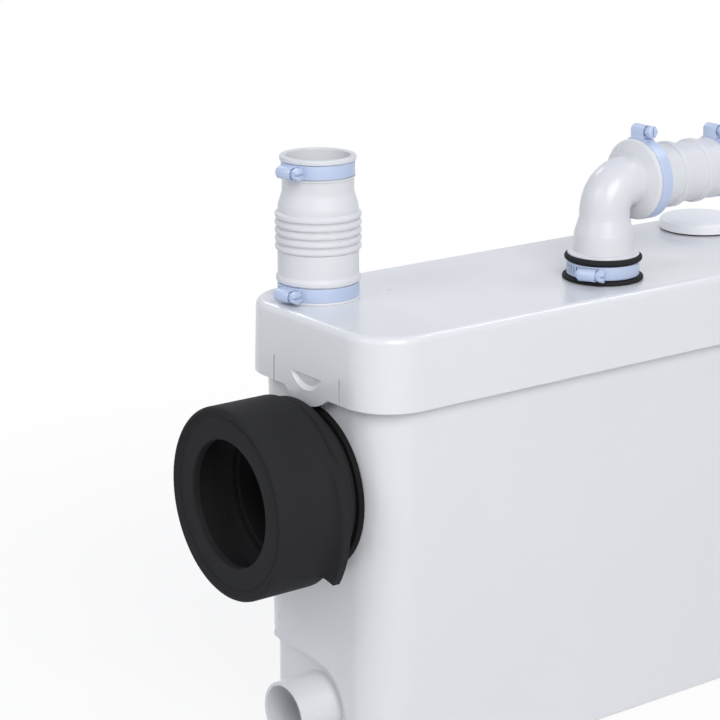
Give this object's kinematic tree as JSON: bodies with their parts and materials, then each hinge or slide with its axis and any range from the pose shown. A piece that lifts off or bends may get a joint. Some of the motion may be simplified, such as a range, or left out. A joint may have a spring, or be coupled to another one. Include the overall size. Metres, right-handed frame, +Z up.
{
  "type": "macerator toilet pump",
  "caption": "Boxy moulded macerator pump with a rubber toilet cuff on one end, a ribbed inlet sleeve and a discharge elbow on its clipped lid, and the pump set inside.",
  "frame": {"origin": "centre of the tank's flat base", "axes": "+X along the length away from the toilet cuff, +Y towards the wall behind the pump, +Z up"},
  "size_m": [0.5049, 0.1585, 0.3896],
  "materials": {
    "body_plastic": "satin moulded",
    "white_rubber": "smooth",
    "black_rubber": "matt",
    "white_plastic": "gloss",
    "clamp_steel": "bright",
    "dark_plastic": "satin",
    "grey_plastic": "satin",
    "stainless": "satin",
    "lamination_steel": "dark",
    "copper": "enamelled wire",
    "housing_aluminium": "cast"
  },
  "bodies": {
    "tank_set": {"tank": "body_plastic", "lid_seal": "black_rubber", "toilet_cuff": "black_rubber", "cuff_retaining_ring": "dark_plastic", "left_inlet_stub": "white_plastic", "right_inlet_stub": "white_plastic", "blanking_cap": "white_plastic", "cable_gland": "dark_plastic", "gland_nut": "dark_plastic", "pump_deck": "grey_plastic", "deck_screws": "stainless", "motor_housing": "housing_aluminium", "lower_bearing": "stainless", "upper_bearing": "stainless", "shaft_seal": "black_rubber", "stator_core": "lamination_steel", "stator_windings": "copper", "grinder_basket": "dark_plastic", "volute": "grey_plastic", "suction_plate": "grey_plastic", "discharge_riser": "white_plastic", "inlet_chute": "dark_plastic", "dry_deck": "grey_plastic", "dry_deck_screws": "stainless", "pressure_bell": "grey_plastic", "pressure_cover": "grey_plastic", "microswitch": "dark_plastic", "capacitor": "housing_aluminium", "terminal_block": "grey_plastic"},
    "lid_set": {"lid": "body_plastic", "inlet_sleeve": "white_rubber", "discharge_collar": "black_rubber", "discharge_elbow": "white_plastic", "outlet_connector": "white_rubber", "cap_seal": "black_rubber", "vent_filter": "dark_plastic", "sleeve_lower_clamp": "clamp_steel", "sleeve_upper_clamp": "clamp_steel", "collar_clamp": "clamp_steel", "elbow_clamp": "clamp_steel", "outlet_clamp": "clamp_steel", "sleeve_lower_clamp_screw": "clamp_steel", "sleeve_upper_clamp_screw": "clamp_steel", "collar_clamp_screw": "clamp_steel", "elbow_clamp_screw": "clamp_steel", "outlet_clamp_screw": "clamp_steel"},
    "service_cap": {"service_cap": "white_plastic"},
    "non_return_flap": {"non_return_flap": "dark_plastic"},
    "rotor_set": {"rotor": "lamination_steel", "shaft": "stainless", "cutter_blade": "stainless", "impeller": "stainless"},
    "left_flap": {"left_inlet_stub_flap": "white_plastic"},
    "right_flap": {"right_inlet_stub_flap": "white_plastic"},
    "plunger_set": {"diaphragm": "black_rubber", "switch_plunger": "grey_plastic"},
    "lever": {"switch_lever": "stainless"}
  },
  "joints": [
    {"name": "lid_lift", "type": "slide", "parent": "tank_set", "child": "lid_set", "axis": [0, 0, 1], "range_m": [0, 0.08]},
    {"name": "cap_lift", "type": "slide", "parent": "lid_set", "child": "service_cap", "axis": [0, 0, 1], "range_m": [0, 0.03]},
    {"name": "non_return_swing", "type": "hinge", "parent": "lid_set", "child": "non_return_flap", "pos_m": [-0.0136, -0.032, 0.2984], "axis": [0, -1, 0], "range_deg": [0, 60]},
    {"name": "rotor_spin", "type": "hinge", "parent": "tank_set", "child": "rotor_set", "pos_m": [-0.062, 0, 0.18], "axis": [0, 0, 1], "continuous": true},
    {"name": "left_flap_swing", "type": "hinge", "parent": "tank_set", "child": "left_flap", "pos_m": [-0.18498, 0, 0.0604], "axis": [0, -1, 0], "range_deg": [0, 60]},
    {"name": "right_flap_swing", "type": "hinge", "parent": "tank_set", "child": "right_flap", "pos_m": [0.18498, 0, 0.0604], "axis": [0, 1, 0], "range_deg": [0, 60]},
    {"name": "plunger_slide", "type": "slide", "parent": "tank_set", "child": "plunger_set", "axis": [0, 0, 1], "range_m": [0, 0.002], "stiffness_N_per_m": 150},
    {"name": "lever_swing", "type": "hinge", "parent": "tank_set", "child": "lever", "pos_m": [0.097, 0.026, 0.21745], "axis": [0, 1, 0], "range_deg": [0, 8]}
  ],
  "couplings": [
    {"joint": "lever_swing", "follows": "plunger_slide", "rad_per_m": 56.4}
  ]
}
